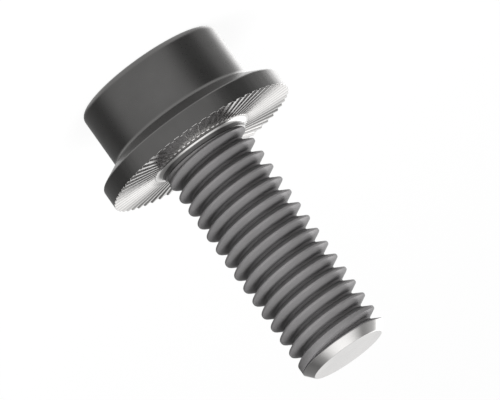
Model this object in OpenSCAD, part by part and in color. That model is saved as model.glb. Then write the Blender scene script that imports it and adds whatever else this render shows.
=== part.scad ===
// Hex socket cap screw with a ribbed locking flange, in millimetres.
// The seat lies in the plane z = 0, with the head below it and the thread above it,
// so the screw stands on its head with its tip up.

/* [Thread] */
// Outer diameter of the thread
thread_d = 6; // [5:0.5:7]
// Advance of the thread in one turn
thread_pitch = 1; // [0.8:0.05:1.2]
// Length under the head, from the seat to the tip
shank_l = 16; // [10:1:25]
// Depth of the shallow relief that the thread starts from
relief_depth = 0.1; // [0.05:0.01:0.25]
// Turns over which the groove deepens to its full depth
run_out_turns = 0.5; // [0.5:0.1:1.5]
// Turns over which the groove fades out before the tip
run_in_turns = 0.5; // [0.5:0.1:1.5]

/* [Tip] */
// How far the chamfer cuts into the radius
tip_chamfer = 0.47; // [0.3:0.01:0.8]
// Length of the chamfer along the axis
tip_chamfer_l = 0.55; // [0.3:0.01:1]

/* [Head] */
// Diameter of the cap head
head_d = 10; // [9:0.25:11]
// Height of the head, from the seat to its end face
head_h = 6; // [5:0.25:8]
// Rounding of the end face's edge
head_edge_r = 0.4; // [0.2:0.05:0.6]

/* [Hex socket] */
// Width across the flats
socket_af = 5; // [4:0.5:5.5]
// Depth of the flats from the end face
socket_depth = 3; // [2:0.25:3.5]
// Width of the chamfer round the mouth, past the corners
socket_lead = 0.15; // [0.1:0.05:0.3]

/* [Flange] */
// Diameter of the flange
flange_d = 13.1; // [12:0.1:15]
// Height of the rim, up to the sharp edge that the rounding takes off
rim_h = 1.26; // [1:0.02:1.8]
// Rise of the conical top, from the rim to the head
cone_h = 0.86; // [0.5:0.02:1.2]
// Rounding of the rim's upper edge
rim_edge_r = 0.12; // [0.1:0.02:0.3]
// Hollow fillet where the cone meets the head
head_fillet_r = 0.35; // [0.1:0.05:0.5]

/* [Seat] */
// Hollow fillet between the seat and the shank
seat_fillet_r = 0.4; // [0.3:0.05:0.8]
// Number of locking ribs
rib_count = 60; // [48:1:72]
// Height of the ribs at the rim, above the floor between them
rib_h = 0.08; // [0.06:0.01:0.15]
// Width of each rib's flat crest at the rim
rib_crest_w = 0.17; // [0.06:0.01:0.2]
// Width of each flank of a rib at the rim
rib_flank_w = 0.07; // [0.05:0.01:0.15]
// Plain ring of the seat between the fillet and the ribs
seat_ring_w = 0.13; // [0.05:0.01:0.3]

/* [Hidden] */
$fn = 96;

thread_r = thread_d / 2;
head_r = head_d / 2;
flange_r = flange_d / 2;

// A 60 degree thread: the crest is an eighth of the pitch wide
groove_depth = 0.6134 * thread_pitch;
crest_w = thread_pitch / 8;
groove_w = thread_pitch - crest_w;
root_w = groove_w - 2 * groove_depth * tan(30);
thread_segments = 40;

// Above the fillet the shank narrows to the relief at 30 degrees from the seat's plane
relief_r = thread_r - relief_depth;
neck_top = seat_fillet_r + relief_depth * tan(30);
rod_top = shank_l - tip_chamfer_l;
// The rod's flats lie inside the round relief and tip that it joins
rod_inset = 0.012;
rod_r = thread_r - rod_inset;
// Share of the full depth at the groove's two ends, and the margin of plain rod past them
end_share = 0.05;
rod_margin = 0.02;
end_lip = (root_w + end_share * (groove_w - root_w)) / 2;
groove_start = neck_top + rod_margin + end_lip;
groove_turns = (rod_top - rod_margin - end_lip - groove_start) / thread_pitch;
groove_steps = floor(groove_turns * thread_segments);
// Height of the groove's middle where it crosses the +X side, as a share of the pitch
groove_phase = 0.45;
groove_angle = 360 * (groove_start / thread_pitch - groove_phase);

socket_corner_r = socket_af / 2 / cos(30);
socket_mouth_r = socket_corner_r + socket_lead;
// The mouth's chamfer runs in until it is past the flats
socket_lead_r = socket_af / 2 - socket_lead;
socket_lead_h = (socket_mouth_r - socket_lead_r) * tan(30);
socket_drill_h = socket_af / 2 * tan(30);

rib_pitch_angle = 360 / rib_count;
rib_crest_angle = rib_crest_w / flange_r * 180 / PI;
rib_flank_angle = rib_flank_w / flange_r * 180 / PI;
// Where the crest of the first rib lies round the axis
rib_angle = -1;
rib_ring_r = thread_r + seat_fillet_r + seat_ring_w;
// Where the cutters between the ribs start and end, as shares of the ring's and the rim's radius
cutter_start = 0.9;
cutter_end = 1.1;
// How far the cutters' sides run on above the seat, as a share of a flank
cutter_rise = 0.4;

function polar(r, a, z) = [r * cos(a), r * sin(a), z];

// The sliver between two edges that leave a corner at angles a and b, and the circle that touches both
module corner_sliver(corner, a, b, r) {
    half = (b - a) / 2;
    run = r / tan(half);
    centre = corner + r / sin(half) * [cos(a + half), sin(a + half)];
    difference() {
        polygon([
            corner,
            corner + run * [cos(a), sin(a)],
            centre,
            corner + run * [cos(b), sin(b)]
        ]);
        translate(centre) circle(r = r);
    }
}

// Half section of the head and its flange, from the end face up to the seat
module head_section() {
    cone_angle = atan2(cone_h, flange_r - head_r);
    cone_foot = [flange_r, -rim_h];
    cone_head = [head_r, -rim_h - cone_h];
    difference() {
        polygon([[0, 0], [flange_r, 0], cone_foot, cone_head, [head_r, -head_h], [0, -head_h]]);
        corner_sliver([head_r, -head_h], 90, 180, head_edge_r);
        corner_sliver(cone_foot, 90, 180 + cone_angle, rim_edge_r);
    }
    corner_sliver(cone_head, -90, cone_angle, head_fillet_r);
}

// Cross-section of the space between two ribs at a radius: its sides point at the axis, so it
// grows wider and deeper towards the rim, with a flat floor and a sloping flank on each side
function rib_space_at(r) =
    let (
        sink = rib_h * r / flange_r,
        lip = [rib_crest_angle / 2, rib_pitch_angle - rib_crest_angle / 2],
        foot = [lip[0] + rib_flank_angle, lip[1] - rib_flank_angle],
        feet = [for (a = foot) polar(r, a, -sink)],
        lips = [for (a = lip) polar(r, a, 0)],
        tops = [for (k = [0, 1]) lips[k] + cutter_rise * (lips[k] - feet[k])]
    )
    [feet[0], feet[1], tops[1], tops[0]];

module rib_space() {
    polyhedron(
        points = concat(rib_space_at(rib_ring_r * cutter_start), rib_space_at(flange_r * cutter_end)),
        faces = [[0, 1, 2, 3], [7, 6, 5, 4], [0, 4, 5, 1], [1, 5, 6, 2], [2, 6, 7, 3], [3, 7, 4, 0]]
    );
}

module ribbed_head() {
    difference() {
        rotate_extrude() head_section();
        for (i = [0 : rib_count - 1]) rotate(rib_angle + i * rib_pitch_angle) rib_space();
    }
}

// Solid middle of the seat, with the fillet and the relief that lead up to the thread
module neck() {
    rotate_extrude() {
        translate([0, -rim_h]) square([rib_ring_r, rim_h]);
        polygon([[0, 0], [thread_r, 0], [thread_r, seat_fillet_r], [relief_r, neck_top], [0, neck_top]]);
        corner_sliver([thread_r, 0], 0, 90, seat_fillet_r);
    }
}

module hex_socket() {
    translate([0, 0, -head_h]) {
        cylinder(r = socket_corner_r, h = socket_depth, $fn = 6);
        translate([0, 0, socket_depth]) cylinder(r1 = socket_af / 2, r2 = 0, h = socket_drill_h);
        cylinder(r1 = socket_mouth_r, r2 = socket_lead_r, h = socket_lead_h);
    }
}

// Share of the full depth that the groove has after a number of turns
function groove_share(turns) =
    let (left = groove_steps / thread_segments - turns)
    max(end_share, min(1, turns / run_out_turns, left / run_in_turns));

// A point of the groove after i steps: its lower lip, the two edges of its root or its upper lip.
// Where the groove is shallower it is narrower as well, as its flanks keep their angle
function thread_point(i, m) =
    let (
        turns = i / thread_segments,
        share = groove_share(turns),
        lip = (root_w + share * (groove_w - root_w)) / 2,
        offset = [-lip, -root_w / 2, root_w / 2, lip][m],
        sink = [0, 1, 1, 0][m] * groove_depth * share
    )
    polar(rod_r - sink, groove_angle + 360 * turns, groove_start + thread_pitch * turns + offset);

// Rod with a helical groove: a strip of points wound round the axis, each turn joined to the next
// by the crest between them, and closed by a skirt and a flat end at the bottom and at the top
module threaded_rod() {
    n = thread_segments;
    last = groove_steps;
    strip = [for (i = [0 : last], m = [0 : 3]) thread_point(i, m)];
    low_ring = [for (i = [0 : n - 1])
        polar(relief_r - rod_inset, groove_angle + 360 * i / n, neck_top)];
    high_ring = [for (i = [0 : n - 1]) polar(rod_r, groove_angle + 360 * (last + i) / n, rod_top)];
    low_0 = len(strip);
    high_0 = low_0 + n;
    lip = last - n;

    groove_faces = [for (i = [0 : last - 1], m = [0 : 2])
        each quad(4 * i + m, 4 * i + m + 1, 4 * i + m + 5, 4 * i + m + 4)];
    crest_faces = [for (i = [0 : lip - 1])
        each quad(4 * i + 3, 4 * (i + n), 4 * (i + n + 1), 4 * (i + 1) + 3)];
    low_skirt = [for (i = [0 : n - 2])
        each quad(low_0 + i, 4 * i, 4 * (i + 1), low_0 + i + 1)];
    low_joint = fan(4 * (n - 1), [4 * n, 3, 2, 1, 0, low_0, low_0 + n - 1]);
    high_skirt = [for (i = [1 : n - 1])
        each quad(4 * (lip + i) + 3, high_0 + i, high_0 + (i + 1) % n, 4 * (lip + i + 1) + 3)];
    high_joint = fan(4 * (lip + 1) + 3,
        [4 * lip + 3, 4 * last, 4 * last + 1, 4 * last + 2, 4 * last + 3, high_0, high_0 + 1]);
    low_end = [[for (i = [0 : n - 1]) low_0 + i]];
    high_end = [[for (i = [n - 1 : -1 : 0]) high_0 + i]];

    polyhedron(
        points = concat(strip, low_ring, high_ring),
        faces = concat(groove_faces, crest_faces, low_skirt, low_joint, high_skirt, high_joint,
            low_end, high_end)
    );
}

// Two triangles that fill a four-sided face, and the triangles that join a point to a chain
function quad(a, b, c, d) = [[a, b, c], [a, c, d]];
function fan(apex, chain) = [for (k = [0 : len(chain) - 2]) [apex, chain[k], chain[k + 1]]];

module tip() {
    translate([0, 0, rod_top]) cylinder(r1 = thread_r, r2 = thread_r - tip_chamfer, h = tip_chamfer_l);
}

module cap_screw() {
    color("#56565a") {
        difference() {
            union() {
                ribbed_head();
                neck();
            }
            hex_socket();
        }
        threaded_rod();
        tip();
    }
}

cap_screw();
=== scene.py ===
"""Looks of the flanged hex socket cap screw, which stands on its head with its tip up."""
import math

import bpy
from mathutils import Matrix, Vector


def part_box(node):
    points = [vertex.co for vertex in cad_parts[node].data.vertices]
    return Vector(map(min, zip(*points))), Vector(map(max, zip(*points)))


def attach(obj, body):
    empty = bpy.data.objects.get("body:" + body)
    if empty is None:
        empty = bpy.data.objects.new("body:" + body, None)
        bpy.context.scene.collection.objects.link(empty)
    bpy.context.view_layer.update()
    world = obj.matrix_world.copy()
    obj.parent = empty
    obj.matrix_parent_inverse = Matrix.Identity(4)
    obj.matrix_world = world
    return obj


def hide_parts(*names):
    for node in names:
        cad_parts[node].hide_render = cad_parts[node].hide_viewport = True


MM = 0.001
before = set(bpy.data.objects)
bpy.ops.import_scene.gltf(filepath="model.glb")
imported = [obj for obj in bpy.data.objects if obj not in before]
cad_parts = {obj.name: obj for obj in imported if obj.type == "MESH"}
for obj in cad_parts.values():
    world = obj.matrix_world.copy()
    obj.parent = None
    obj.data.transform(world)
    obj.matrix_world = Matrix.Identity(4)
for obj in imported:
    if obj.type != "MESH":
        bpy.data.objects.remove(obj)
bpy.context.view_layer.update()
lowest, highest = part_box("cap_screw")

# Main sizes, from the CAD node's box
HEAD_H = -lowest.z
SHANK_L = highest.z
FLANGE_R = highest.x

# Head and flange
HEAD_R = 5 * MM
HEAD_EDGE_R = 0.4 * MM
RIM_H = 1.26 * MM
CONE_H = 0.86 * MM
RIM_EDGE_R = 0.12 * MM
HEAD_FILLET_R = 0.35 * MM

# Hex socket
SOCKET_AF = 5 * MM
SOCKET_DEPTH = 3 * MM
SOCKET_LEAD = 0.15 * MM

# Ribbed seat: number of ribs, and where the first crest lies round the axis in degrees
RIBS = 60
RIB_ANGLE = -1
RIB_H = 0.08 * MM
RIB_CREST_W = 0.17 * MM
RIB_FLANK_W = 0.07 * MM
# Broken edges: of a rib's crest, as a share of its height, and of the rim
RIB_BREAK = 0.12
RIM_BREAK = 0.012 * MM
SEAT_RING_W = 0.13 * MM
COLLAR_EDGE = 0.04 * MM

# Fillet between the seat and the shank, and the angle up to which it is bright steel: a painted highlight
# along its outer part
SEAT_FILLET_R = 0.4 * MM
FILLET_HIGHLIGHT = math.radians(66)

# Thread, the shallow relief that it starts from, and tip
THREAD_R = 3 * MM
RELIEF_R = 2.9 * MM
NECK_TOP = SEAT_FILLET_R + (THREAD_R - RELIEF_R) * math.tan(math.radians(30))
# Height over which the thread grows out of the relief, and the rings that it takes
NECK_BLEND = 0.2 * MM
NECK_RINGS = 5
PITCH = 1 * MM
FLANK_ANGLE = math.radians(30)
GROOVE_W = 7 / 8 * PITCH
GROOVE_DEPTH = 0.6134 * PITCH
# Rows across a groove: one on the flank, as a share of the groove's width, and those that round
# its lip, as shares of the pitch: where the rounding starts, then (offset past the lip, depth)
FLANK_ROW = 0.32
LIP_START = 0.03
LIP_ROWS = [(-0.005, 0.012), (0.025, 0)]
# Height of the groove's middle on the +X side, as a share of the pitch
GROOVE_PHASE = 0.45
RUN_OUT_START = 0.45 * PITCH
RUN_OUT_TURNS = 0.6
RUN_IN_TURNS = 0.5
# Where the groove ends below the chamfer, and the least share of its width that it narrows to
END_MARGIN = 0.02 * MM
END_WIDTH = 0.02
TIP_CHAMFER = 0.47 * MM
TIP_CHAMFER_L = 0.55 * MM
TIP_EDGE_R = 0.06 * MM
ROD_TOP = SHANK_L - TIP_CHAMFER_L

# Points round the axis: six for each rib, or one for each degree
AROUND = 360
# Heights closer than this are the same
TOUCH = 1e-9

# Materials of the body mesh, in the order of its slots
BLACKENED, BRIGHT, THREADED = range(3)


def polar(r, angle, z):
    return (r * math.cos(angle), r * math.sin(angle), z)


class Skin:
    """A closed surface that is laid ring by ring, from the bottom of the socket to the tip."""

    def __init__(self):
        self.points, self.faces, self.zones = [], [], []
        self.last = None

    def add(self, points):
        start = len(self.points)
        self.points.extend(points)
        return list(range(start, len(self.points)))

    def face(self, corners, zone):
        self.faces.append(corners)
        self.zones.append(zone)

    def ring(self, points, zone):
        """Adds a ring and joins it to the one before it."""
        new = self.add(points)
        if self.last is not None:
            for j in range(AROUND):
                k = (j + 1) % AROUND
                self.face((self.last[j], self.last[k], new[k], new[j]), zone)
        self.last = new
        return new

    def start(self, point, ring_points, zone):
        """A point and the first ring round it."""
        centre = self.add([point])[0]
        new = self.add(ring_points)
        for j in range(AROUND):
            self.face((centre, new[(j + 1) % AROUND], new[j]), zone)
        self.last = new

    def close(self, point, zone):
        centre = self.add([point])[0]
        for j in range(AROUND):
            self.face((self.last[j], self.last[(j + 1) % AROUND], centre), zone)


def even_angles():
    return [2 * math.pi * j / AROUND for j in range(AROUND)]


def circle(r, z, angles):
    return [polar(r, a, z) for a in angles]


def rounded(corners, steps=6, support=0.05 * MM):
    """A chain of straight runs in the (radius, height) plane. A corner is (radius, height, rounding)."""
    chain = []
    for i, (r, z, rounding) in enumerate(corners):
        here = Vector((r, z))
        if not rounding or i in (0, len(corners) - 1):
            chain.append((r, z))
            continue
        back = (Vector(corners[i - 1][:2]) - here).normalized()
        on = (Vector(corners[i + 1][:2]) - here).normalized()
        half = back.angle(on) / 2
        run = rounding / math.tan(half)
        centre = here + (back + on).normalized() * (rounding / math.sin(half))
        first, last = here + back * run - centre, here + on * run - centre
        turn = first.angle_signed(last)
        chain.append(tuple(here + back * (run + support)))
        for k in range(steps + 1):
            angle = -turn * k / steps
            spoke = Matrix.Rotation(angle, 2) @ first
            chain.append(tuple(centre + spoke))
        chain.append(tuple(here + on * (run + support)))
    return chain


def hex_radius(angle):
    """Distance from the axis to the socket's wall."""
    turn = (angle + math.pi / 6) % (math.pi / 3) - math.pi / 6
    return SOCKET_AF / 2 / math.cos(turn)


def lay_socket(skin):
    angles = even_angles()
    floor_z = SOCKET_DEPTH - HEAD_H
    drill_r = SOCKET_AF / 2 - 0.02 * MM
    apex = floor_z + drill_r * math.tan(math.radians(30))
    mouth_r = SOCKET_AF / 2 / math.cos(math.pi / 6) + SOCKET_LEAD
    lead_slope = math.tan(math.radians(30))
    share = 0.04
    skin.start((0, 0, apex), circle(share * drill_r, apex - share * (apex - floor_z), angles), BLACKENED)
    for share in (0.35, 0.7, 1):
        skin.ring(circle(share * drill_r, apex - share * (apex - floor_z), angles), BLACKENED)
    skin.ring([polar(hex_radius(a), a, floor_z) for a in angles], BLACKENED)
    for share in (0.03, 0.5, 1):
        wall = []
        for a in angles:
            edge = (mouth_r - hex_radius(a)) * lead_slope - HEAD_H
            wall.append(polar(hex_radius(a), a, floor_z + share * (edge - floor_z)))
        skin.ring(wall, BLACKENED)
    skin.ring(circle(mouth_r, -HEAD_H, angles), BLACKENED)
    return mouth_r


def rib_points():
    """Angle and depth share of the six points of every rib: foot, flank, crest, and the same back."""
    crest = RIB_CREST_W / FLANGE_R / 2
    flank = RIB_FLANK_W / FLANGE_R
    lip = crest + flank * RIB_BREAK
    top = crest - flank * RIB_BREAK / 3
    profile = [
        (-crest - flank, 1), (-lip, RIB_BREAK), (-top, 0),
        (top, 0), (lip, RIB_BREAK), (crest + flank, 1),
    ]
    step = 2 * math.pi / RIBS
    middles = [math.radians(RIB_ANGLE) + i * step for i in range(RIBS)]
    return [(m + a, share) for m in middles for a, share in profile]


def lay_head(skin, mouth_r):
    ribs = rib_points()
    even, uneven = even_angles(), [a for a, _ in ribs]
    corners = [
        (mouth_r, -HEAD_H, 0),
        (HEAD_R, -HEAD_H, HEAD_EDGE_R),
        (HEAD_R, -RIM_H - CONE_H, HEAD_FILLET_R),
        (FLANGE_R, -RIM_H, RIM_EDGE_R),
        (FLANGE_R, -RIB_H, 0),
    ]
    chain = rounded(corners)[1:-1]
    for r, z in chain:
        angles = even if r < (HEAD_R + FLANGE_R) / 2 else uneven
        skin.ring(circle(r, z, angles), BLACKENED)
    for cut in (0.3 * MM, RIM_BREAK):
        wall = [polar(FLANGE_R, a, -RIB_H * share - cut) for a, share in ribs]
        skin.ring(wall, BLACKENED)


def lay_seat(skin):
    ribs = rib_points()
    fillet_r = THREAD_R + SEAT_FILLET_R
    ring_r = fillet_r + SEAT_RING_W
    outer = FLANGE_R - RIM_BREAK
    for k in range(7):
        r = outer + (ring_r - outer) * k / 6
        skin.ring([polar(r, a, -RIB_H * share * r / FLANGE_R) for a, share in ribs], BRIGHT)
    skin.ring(circle(ring_r - COLLAR_EDGE, 0, [a for a, _ in ribs]), BRIGHT)
    skin.ring(circle(fillet_r, 0, even_angles()), BRIGHT)
    steps = 8
    for k in range(1, steps + 1):
        turned = math.pi / 2 * k / steps
        r = fillet_r - SEAT_FILLET_R * math.sin(turned)
        z = SEAT_FILLET_R * (1 - math.cos(turned))
        # Painted highlight: the fillet's outer part takes the bright steel, the rest the blackened
        zone = BRIGHT if turned < FILLET_HIGHLIGHT else BLACKENED
        skin.ring(circle(r, z, even_angles()), zone)
    skin.ring(circle(RELIEF_R, NECK_TOP, even_angles()), BLACKENED)


def thread_profile():
    """Offset from the groove's middle and depth, for the rows of one pitch."""
    root_r = GROOVE_W / 2 / math.tan(FLANK_ANGLE) - GROOVE_DEPTH
    root_centre = GROOVE_DEPTH - root_r
    half = []
    for degrees in (30, 60):
        angle = math.radians(degrees)
        half.append((root_r * math.sin(angle), root_centre + root_r * math.cos(angle)))
    for inside in (GROOVE_W / 2 - GROOVE_W * FLANK_ROW, LIP_START * PITCH):
        half.append((GROOVE_W / 2 - inside, inside / math.tan(FLANK_ANGLE)))
    for past, depth in LIP_ROWS:
        half.append((GROOVE_W / 2 + past * PITCH, depth * PITCH))
    return [(-o, d) for o, d in reversed(half)] + [(0, GROOVE_DEPTH)] + half


def groove_depth(middle, depth):
    """Depth in a groove that starts as shallow as the relief and grows along the helix."""
    grown = min(1, max(0, (middle - RUN_OUT_START) / PITCH / RUN_OUT_TURNS))
    if grown == 1:
        return depth
    cap = THREAD_R - RELIEF_R + GROOVE_DEPTH * grown / (1 - grown)
    return depth / (1 + (depth / cap) ** 3) ** (1 / 3)


def neck_radius(profile, angle, z):
    """Radius right above the relief, where the thread's first turn grows out of it."""
    turns = z / PITCH - GROOVE_PHASE - angle / (2 * math.pi)
    offset = (turns - round(turns)) * PITCH
    depth = 0
    for (o, d), (next_o, next_d) in zip(profile, profile[1:]):
        if o <= offset < next_o:
            depth = d + (next_d - d) * (offset - o) / (next_o - o)
    r = THREAD_R - groove_depth(z - offset, depth)
    share = (z - NECK_TOP) / NECK_BLEND
    return RELIEF_R + (r - RELIEF_R) * share * share * (3 - 2 * share)


def lay_thread(skin):
    """Rows that climb like the thread, between flat rings above the relief and below the chamfer."""
    profile = thread_profile()
    rows = len(profile)
    for k in range(1, NECK_RINGS + 1):
        low_z = NECK_TOP + NECK_BLEND * k / NECK_RINGS
        skin.ring([polar(neck_radius(profile, a, low_z), a, low_z) for a in even_angles()], THREADED)
    high_middle = ROD_TOP - END_MARGIN
    first_turn = math.floor(NECK_TOP / PITCH) - 3
    last_turn = math.ceil(ROD_TOP / PITCH) + 1
    low_ring = skin.last
    high_ring = skin.add(circle(THREAD_R, ROD_TOP, even_angles()))
    known = {}

    def vertex(row, j):
        """The point of a row at a place round the axis. After a turn a row goes on in a higher one."""
        if j == AROUND:
            row, j = row + rows, 0
        turn, m = divmod(row, rows)
        offset, depth = profile[m]
        middle = (GROOVE_PHASE + turn + j / AROUND) * PITCH
        share = min(1, max(0, (high_middle - middle) / PITCH / RUN_IN_TURNS))
        z = middle + offset * max(share, END_WIDTH)
        if z <= low_z + TOUCH:
            return low_ring[j]
        if z >= ROD_TOP - TOUCH:
            return high_ring[j]
        if (row, j) not in known:
            angle = 2 * math.pi * j / AROUND
            r = THREAD_R - groove_depth(middle, depth * share)
            known[row, j] = skin.add([polar(r, angle, z)])[0]
        return known[row, j]

    for row in range(first_turn * rows, last_turn * rows):
        for j in range(AROUND):
            corners = [vertex(row, j), vertex(row, j + 1), vertex(row + 1, j + 1), vertex(row + 1, j)]
            kept = [c for i, c in enumerate(corners) if c != corners[i - 1]]
            if len(set(kept)) > 2 and len(set(kept)) == len(kept):
                skin.face(tuple(kept), THREADED)
    skin.last = high_ring


def lay_tip(skin):
    end_r = THREAD_R - TIP_CHAMFER
    corners = [(THREAD_R, ROD_TOP, 0), (end_r, SHANK_L, TIP_EDGE_R), (0, SHANK_L, 0)]
    for r, z in rounded(corners, steps=4)[1:-1]:
        skin.ring(circle(r, z, even_angles()), BRIGHT)
    skin.ring(circle(end_r / 2, SHANK_L, even_angles()), BRIGHT)
    skin.close((0, 0, SHANK_L), BRIGHT)


# Noise in the steel, in cells a metre: its clouds and its grain
CLOUDS = 350
GRAINS = 9000
# Places of a colour mix's two colours and of its result among a Mix node's sockets
COLOUR_A, COLOUR_B, COLOUR_OUT = 6, 7, 2


def noise(nodes, links, coords, scale, detail):
    """Noise on the part's own coordinates, with scale in cells a metre."""
    texture = nodes.new("ShaderNodeTexNoise")
    texture.inputs["Scale"].default_value = scale
    texture.inputs["Detail"].default_value = detail
    links.new(coords, texture.inputs["Vector"])
    return texture.outputs["Fac"]


def spread(nodes, links, value, low, high):
    """Turns a noise of about 0.3 to 0.7 into a value from low to high."""
    ranged = nodes.new("ShaderNodeMapRange")
    ranged.inputs["From Min"].default_value = 0.3
    ranged.inputs["From Max"].default_value = 0.7
    ranged.inputs["To Min"].default_value = low
    ranged.inputs["To Max"].default_value = high
    links.new(value, ranged.inputs["Value"])
    return ranged.outputs["Result"]


def distance_from_axis(nodes, links, coords):
    flat = nodes.new("ShaderNodeVectorMath")
    flat.operation = "MULTIPLY"
    flat.inputs[1].default_value = (1, 1, 0)
    links.new(coords, flat.inputs[0])
    length = nodes.new("ShaderNodeVectorMath")
    length.operation = "LENGTH"
    links.new(flat.outputs["Vector"], length.inputs[0])
    return length.outputs["Value"]


def paint_root_shade(nodes, links, coords, tone, share):
    """Painted shade: the colour is darker in the roots of the thread, to stand for the shade that falls
    in them.
    """
    ranged = nodes.new("ShaderNodeMapRange")
    ranged.interpolation_type = "SMOOTHSTEP"
    ranged.inputs["From Min"].default_value = THREAD_R - GROOVE_DEPTH
    ranged.inputs["From Max"].default_value = THREAD_R - GROOVE_DEPTH * 0.55
    ranged.inputs["To Min"].default_value = share
    ranged.inputs["To Max"].default_value = 1
    links.new(distance_from_axis(nodes, links, coords), ranged.inputs["Value"])
    scaled = nodes.new("ShaderNodeVectorMath")
    scaled.operation = "SCALE"
    links.new(tone, scaled.inputs[0])
    links.new(ranged.outputs["Result"], scaled.inputs["Scale"])
    return scaled.outputs["Vector"]


def metal(name, dark, light, roughness, grain, metallic=1.0, root_shade_share=1.0, edge=1.0, specular=0.5):
    """Steel whose tone and gloss vary slightly, with a fine grain in its surface and, by the root share,
    painted shade in the thread's roots.

    A low edge darkens what it reflects at a grazing angle, as a coat of oxide does.
    """
    material = bpy.data.materials.new(name)
    material.use_nodes = True
    nodes, links = material.node_tree.nodes, material.node_tree.links
    shader = nodes["Principled BSDF"]
    shader.inputs["Metallic"].default_value = metallic
    shader.inputs["Specular Tint"].default_value = (edge, edge, edge, 1)
    shader.inputs["Specular IOR Level"].default_value = specular
    coords = nodes.new("ShaderNodeTexCoord").outputs["Object"]
    clouds = noise(nodes, links, coords, CLOUDS, 3)
    tone = nodes.new("ShaderNodeMix")
    tone.data_type = "RGBA"
    tone.inputs[COLOUR_A].default_value = (*dark, 1)
    tone.inputs[COLOUR_B].default_value = (*light, 1)
    links.new(spread(nodes, links, clouds, 0, 1), tone.inputs["Factor"])
    # Painted shade: the base colour darkens towards the thread's roots
    colour = paint_root_shade(nodes, links, coords, tone.outputs[COLOUR_OUT], root_shade_share)
    links.new(colour, shader.inputs["Base Color"])
    grains = noise(nodes, links, coords, GRAINS, 2)
    links.new(spread(nodes, links, grains, *roughness), shader.inputs["Roughness"])
    bump = nodes.new("ShaderNodeBump")
    bump.inputs["Strength"].default_value = 1
    bump.inputs["Distance"].default_value = grain
    links.new(grains, bump.inputs["Height"])
    links.new(bump.outputs["Normal"], shader.inputs["Normal"])
    return material


def make_body():
    skin = Skin()
    mouth_r = lay_socket(skin)
    lay_head(skin, mouth_r)
    lay_seat(skin)
    lay_thread(skin)
    lay_tip(skin)
    mesh = bpy.data.meshes.new("cap_screw_body")
    mesh.from_pydata(skin.points, [], skin.faces)
    for face, zone in zip(mesh.polygons, skin.zones):
        face.material_index = zone
        face.use_smooth = True
    mesh.set_sharp_from_angle(angle=math.radians(28))
    blackened = metal("blackened_steel", (0.212, 0.209, 0.206), (0.25, 0.246, 0.243),
                      (0.27, 0.33), 0.0004 * MM)
    bright = metal("bright_steel", (0.62, 0.61, 0.6), (0.72, 0.71, 0.7), (0.14, 0.2), 0.0003 * MM)
    # The threaded steel paints shade into its thread roots, down to 0.68 of its tone
    threaded = metal("threaded_steel", (0.27, 0.264, 0.267), (0.315, 0.309, 0.312),
                     (0.32, 0.4), 0.0005 * MM, metallic=0.6, root_shade_share=0.68, edge=0.2, specular=0.25)
    for material in (blackened, bright, threaded):
        mesh.materials.append(material)
    body = bpy.data.objects.new("cap_screw_body", mesh)
    bpy.context.scene.collection.objects.link(body)
    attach(body, "root")
    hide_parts("cap_screw")


# Studio round the screw: brightness of its walls by the angle from the camera's side, where a
# positive angle lies towards -X, the right of the picture with the head up
WALLS = [
    (-180, 0.91), (-173, 0.7), (-164, 0.28), (-135, 0.2), (-98, 0.1), (-62, 0.46), (28, 0.49), (62, 0.1),
    (84, 0.13), (104, 0.42), (124, 0.52), (132, 0.8), (140, 1.8), (156, 2.7), (168, 2.0), (180, 0.91),
]
# Sines of the heights between which the walls give way to the dark ceiling
WALL_TOP = (0.6, 0.8)
CEILING = 0.33
# Sines of the depths below the horizon between which the walls give way to the light floor
FLOOR_TOP = (0.4, 0.6)
FLOOR = 0.7
# The lamp panel overhead: its direction, and the cosines of its outer and inner edge
PANEL_ANGLE = math.radians(5)
PANEL_HEIGHT = math.radians(78)
PANEL_EDGES = (0.74, 1.05)
PANEL = 1.5


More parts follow.
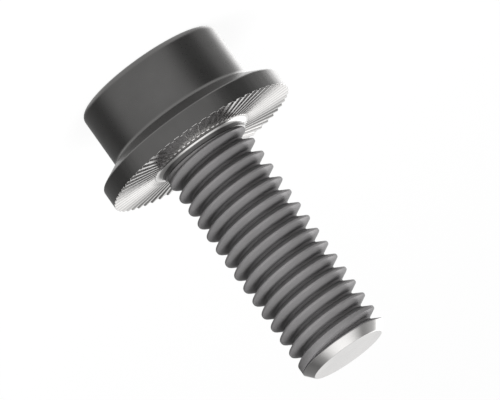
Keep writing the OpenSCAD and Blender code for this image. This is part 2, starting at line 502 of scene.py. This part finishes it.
def make_world():
    """Plain white to the camera, and to everything else the studio that the steel reflects."""
    world = bpy.data.worlds.new("studio")
    bpy.context.scene.world = world
    world.use_nodes = True
    nodes, links = world.node_tree.nodes, world.node_tree.links
    nodes.clear()

    def math_node(operation, a, b=None):
        node = nodes.new("ShaderNodeMath")
        node.operation = operation
        for socket, value in zip(node.inputs, (a, b)):
            if isinstance(value, (int, float)):
                socket.default_value = value
            elif value is not None:
                links.new(value, socket)
        return node.outputs[0]

    def step(value, edges):
        node = nodes.new("ShaderNodeMapRange")
        node.interpolation_type = "SMOOTHSTEP"
        node.inputs["From Min"].default_value, node.inputs["From Max"].default_value = edges
        links.new(value, node.inputs["Value"])
        return node.outputs["Result"]

    def blend(share, a, b):
        node = nodes.new("ShaderNodeMix")
        links.new(share, node.inputs["Factor"])
        for socket, value in zip(node.inputs[2:4], (a, b)):
            if isinstance(value, (int, float)):
                socket.default_value = value
            else:
                links.new(value, socket)
        return node.outputs[0]

    split = nodes.new("ShaderNodeSeparateXYZ")
    coords = nodes.new("ShaderNodeTexCoord").outputs["Generated"]
    links.new(coords, split.inputs[0])
    x, y, z = split.outputs
    # Angle from -Y, growing towards -X, as a share of a turn from -180 to 180 degrees
    angle = math_node("ARCTAN2", math_node("MULTIPLY", x, -1.0), math_node("MULTIPLY", y, -1.0))
    turn = math_node("ADD", math_node("DIVIDE", angle, 2 * math.pi), 0.5)
    ramp = nodes.new("ShaderNodeValToRGB")
    ramp.color_ramp.interpolation = "EASE"
    links.new(turn, ramp.inputs["Fac"])
    brightest = max(grey for _, grey in WALLS)
    stops = ramp.color_ramp.elements
    stops[0].position, stops[1].position = 0, 1
    while len(stops) < len(WALLS):
        stops.new(0.5)
    for stop, (degrees, grey) in zip(stops, WALLS):
        stop.position = degrees / 360 + 0.5
    for stop, (degrees, grey) in zip(stops, WALLS):
        stop.color = (grey / brightest,) * 3 + (1,)
    walls = math_node("MULTIPLY", ramp.outputs["Color"], brightest)
    a, e = PANEL_ANGLE, PANEL_HEIGHT
    facing = nodes.new("ShaderNodeVectorMath")
    facing.operation = "DOT_PRODUCT"
    facing.inputs[1].default_value = (-math.sin(a) * math.cos(e), -math.cos(a) * math.cos(e), math.sin(e))
    links.new(coords, facing.inputs[0])
    room = blend(step(z, WALL_TOP), walls, CEILING)
    room = blend(step(math_node("MULTIPLY", z, -1.0), FLOOR_TOP), room, FLOOR)
    room = blend(step(facing.outputs["Value"], PANEL_EDGES), room, PANEL)
    studio = nodes.new("ShaderNodeBackground")
    links.new(room, studio.inputs["Strength"])
    plain = nodes.new("ShaderNodeBackground")
    for background in (studio, plain):
        background.inputs["Color"].default_value = (1, 1, 1, 1)
    seen = nodes.new("ShaderNodeMixShader")
    links.new(nodes.new("ShaderNodeLightPath").outputs["Is Camera Ray"], seen.inputs["Fac"])
    links.new(studio.outputs[0], seen.inputs[1])
    links.new(plain.outputs[0], seen.inputs[2])
    output = nodes.new("ShaderNodeOutputWorld")
    links.new(seen.outputs[0], output.inputs["Surface"])


# Floor: half its width, its gap below the head's end face, and how white it shows to the camera
FLOOR_HALF = 1.5
FLOOR_GAP = 0.01 * MM
FLOOR_GLOW = 1.04
FLOOR_GLOW_SHARE = 0.9


def make_floor():
    """A floor that shows nearly plain white to the camera, apart from the screw's soft shadow."""
    size = FLOOR_HALF
    mesh = bpy.data.meshes.new("floor")
    corners = [(-size, -size), (size, -size), (size, size), (-size, size)]
    below = -HEAD_H - FLOOR_GAP
    mesh.from_pydata([(x, y, below) for x, y in corners], [], [(0, 1, 2, 3)])
    floor = bpy.data.objects.new("floor", mesh)
    bpy.context.scene.collection.objects.link(floor)
    material = bpy.data.materials.new("floor_white")
    material.use_nodes = True
    nodes, links = material.node_tree.nodes, material.node_tree.links
    shader = nodes["Principled BSDF"]
    shader.inputs["Base Color"].default_value = (0.5, 0.5, 0.5, 1)
    shader.inputs["Roughness"].default_value = 0.9
    glow = nodes.new("ShaderNodeEmission")
    glow.inputs["Strength"].default_value = FLOOR_GLOW
    seen = nodes.new("ShaderNodeMixShader")
    share = nodes.new("ShaderNodeMath")
    share.operation = "MULTIPLY"
    share.inputs[1].default_value = FLOOR_GLOW_SHARE
    links.new(nodes.new("ShaderNodeLightPath").outputs["Is Camera Ray"], share.inputs[0])
    links.new(share.outputs[0], seen.inputs["Fac"])
    links.new(shader.outputs[0], seen.inputs[1])
    links.new(glow.outputs[0], seen.inputs[2])
    links.new(seen.outputs[0], nodes["Material Output"].inputs["Surface"])
    mesh.materials.append(material)
    floor.visible_glossy = False


def make_lamp(name, azimuth, elevation, distance, size, power):
    """A square soft lamp aimed at the middle of the screw. Azimuth 0 is the camera's side."""
    a, e = math.radians(azimuth), math.radians(elevation)
    aim = Vector((-math.sin(a) * math.cos(e), -math.cos(a) * math.cos(e), math.sin(e)))
    data = bpy.data.lights.new(name, "AREA")
    data.size = size
    data.energy = power
    lamp = bpy.data.objects.new(name, data)
    lamp.location = aim * distance + Vector((0, 0, (SHANK_L - HEAD_H) / 2))
    lamp.rotation_mode = "QUATERNION"
    lamp.rotation_quaternion = aim.to_track_quat("Z", "Y")
    lamp.visible_glossy = False
    bpy.context.scene.collection.objects.link(lamp)


# Camera: its height above the seat's plane, the slope of the screw's axis in the picture, the place
# of the seat's centre in the 500 x 400 picture, and the picture's scale
VIEW_ELEVATION = math.radians(11.7)
AXIS_SLOPE = math.radians(54.6)
PICTURE = (500, 400)
SEAT_PLACE = (202.0, 148.5)
PIXELS_PER_METRE = 16080
LENS = 800


def make_camera():
    e, slope = VIEW_ELEVATION, AXIS_SLOPE
    right = Vector((-math.sin(slope), math.cos(slope) * math.sin(e), math.cos(slope) * math.cos(e)))
    up = Vector((-math.cos(slope), -math.sin(slope) * math.sin(e), -math.sin(slope) * math.cos(e)))
    back = Vector((0, -math.cos(e), math.sin(e)))
    across = (PICTURE[0] / 2 - SEAT_PLACE[0]) / PIXELS_PER_METRE
    down = (PICTURE[1] / 2 - SEAT_PLACE[1]) / PIXELS_PER_METRE
    target = right * across - up * down
    data = bpy.data.cameras.new("camera")
    data.lens = LENS
    distance = PICTURE[0] / PIXELS_PER_METRE * LENS / data.sensor_width
    data.clip_start, data.clip_end = distance / 10, distance * 10
    camera = bpy.data.objects.new("camera", data)
    turned = Matrix((right, up, back)).transposed().to_4x4()
    camera.matrix_world = Matrix.Translation(target + back * distance) @ turned
    bpy.context.scene.collection.objects.link(camera)
    bpy.context.scene.camera = camera


make_body()
make_world()
make_floor()
make_lamp("key", -5, 50, 0.25, 0.1, 0.85)
make_camera()
bpy.context.scene.view_settings.view_transform = "Standard"
